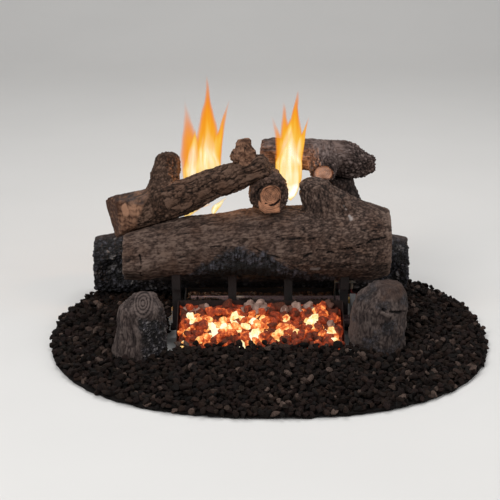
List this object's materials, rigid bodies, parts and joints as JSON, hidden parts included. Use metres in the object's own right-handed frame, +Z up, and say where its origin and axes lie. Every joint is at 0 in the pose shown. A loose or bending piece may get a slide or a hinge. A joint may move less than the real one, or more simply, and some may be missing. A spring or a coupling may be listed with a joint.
{
  "type": "gas log set",
  "caption": "Free-standing gas log set: cast logs on a steel grate over gas burners, a glowing ember tray in front, valve and pilot beside it, in a bed of lava granules.",
  "frame": {"origin": "on the floor, at the middle of the granule bed's outline", "axes": "+Z up, +Y to the back, +X to the viewer's right along the logs; the ember tray faces -Y"},
  "size_m": [0.846, 0.7358, 0.3806],
  "materials": {
    "front_log_bark": "cast refractory, weathered bark with lengthwise grain",
    "rear_log_bark": "cast refractory, bark with charred faces",
    "centre_log_bark": "cast refractory, thick bark round an orange heart",
    "top_log_bark": "cast refractory, coarse furrows, hewn tan end",
    "rear_top_bark": "cast refractory, pebbly bark with a sawn stub",
    "stump_bark": "cast refractory, upright grain",
    "embers": "glowing mineral fibre chunks",
    "pan_granules": "fine vermiculite",
    "lava": "crushed lava rock",
    "grate_steel": "matt black, heat-scaled",
    "tray_steel": "matt black",
    "pan_steel": "bare formed sheet",
    "burner_steel": "drawn tube, heat-tinted",
    "brass": "turned",
    "cast_aluminium": "sand cast",
    "zinc_screws": "zinc plated",
    "black_plastic": "moulded",
    "red_plastic": "moulded",
    "stem_steel": "turned",
    "ceramic": "glazed insulator",
    "pilot_tube": "drawn tube",
    "copper": "drawn copper",
    "ignition_wire": "silicone sleeve"
  },
  "bodies": {
    "root": {"lava_granule_bed": "lava", "grate_front_rail": "grate_steel", "grate_back_rail": "grate_steel", "grate_bar_1": "grate_steel", "grate_bar_2": "grate_steel", "grate_bar_3": "grate_steel", "grate_bar_4": "grate_steel", "rear_log_pin_left": "grate_steel", "rear_log_pin_right": "grate_steel", "front_log": "front_log_bark", "rear_log": "rear_log_bark", "ember_tray": "tray_steel", "ember_burner": "burner_steel", "ember_bed": "embers", "flame_pan": "pan_steel", "flame_burner": "burner_steel", "pan_granules": "pan_granules", "ember_injector": "brass", "flame_injector": "brass", "gas_manifold": "cast_aluminium", "valve_bracket": "pan_steel", "bracket_screw_left": "zinc_screws", "bracket_screw_right": "zinc_screws", "gas_valve": "cast_aluminium", "igniter": "black_plastic", "pressure_regulator": "cast_aluminium", "gas_inlet_fitting": "brass", "pilot_bracket": "pan_steel", "pilot_burner": "burner_steel", "thermocouple": "stem_steel", "spark_electrode": "ceramic", "pilot_gas_tube": "pilot_tube", "thermocouple_lead": "copper", "ignition_wire": "ignition_wire"},
    "control_push": {"valve_plunger": "brass"},
    "control_turn": {"control_stem": "stem_steel", "control_knob": "black_plastic"},
    "igniter_button": {"igniter_button": "red_plastic"},
    "ember_air_shutter": {"ember_air_shutter": "burner_steel"},
    "flame_air_shutter": {"flame_air_shutter": "burner_steel"},
    "left_stump": {"left_stump": "stump_bark"},
    "right_stump": {"right_stump": "stump_bark"},
    "centre_log": {"centre_log": "centre_log_bark"},
    "top_left_log": {"top_left_log": "top_log_bark"},
    "rear_top_log": {"rear_top_log": "rear_top_bark"}
  },
  "joints": [
    {"name": "left_stump_lift", "type": "slide", "parent": "root", "child": "left_stump", "axis": [0, 0, 1], "range_m": [0, 0.08]},
    {"name": "right_stump_lift", "type": "slide", "parent": "root", "child": "right_stump", "axis": [0, 0, 1], "range_m": [0, 0.08]},
    {"name": "centre_log_lift", "type": "slide", "parent": "root", "child": "centre_log", "axis": [0, 0, 1], "range_m": [0, 0.06]},
    {"name": "top_left_log_lift", "type": "slide", "parent": "centre_log", "child": "top_left_log", "axis": [0, 0, 1], "range_m": [0, 0.08]},
    {"name": "rear_top_log_lift", "type": "slide", "parent": "centre_log", "child": "rear_top_log", "axis": [0, 0, 1], "range_m": [0, 0.08]},
    {"name": "control_push", "type": "slide", "parent": "root", "child": "control_push", "axis": [-1, 0, 0], "range_m": [0, 0.003], "stiffness_N_per_m": 900, "springref_m": -0.004},
    {"name": "control_turn", "type": "hinge", "parent": "control_push", "child": "control_turn", "pos_m": [0.229, 0.05, 0.033], "axis": [1, 0, 0], "range_deg": [0, 180]},
    {"name": "igniter_press", "type": "slide", "parent": "root", "child": "igniter_button", "axis": [-1, 0, 0], "range_m": [0, 0.005], "stiffness_N_per_m": 700, "springref_m": -0.003},
    {"name": "ember_air_shutter_turn", "type": "hinge", "parent": "root", "child": "ember_air_shutter", "pos_m": [0.15, 0.017, 0.024], "axis": [1, 0, 0], "range_deg": [0, 80]},
    {"name": "flame_air_shutter_turn", "type": "hinge", "parent": "root", "child": "flame_air_shutter", "pos_m": [0.15, 0.106, 0.0336], "axis": [1, 0, 0], "range_deg": [0, 80]}
  ]
}
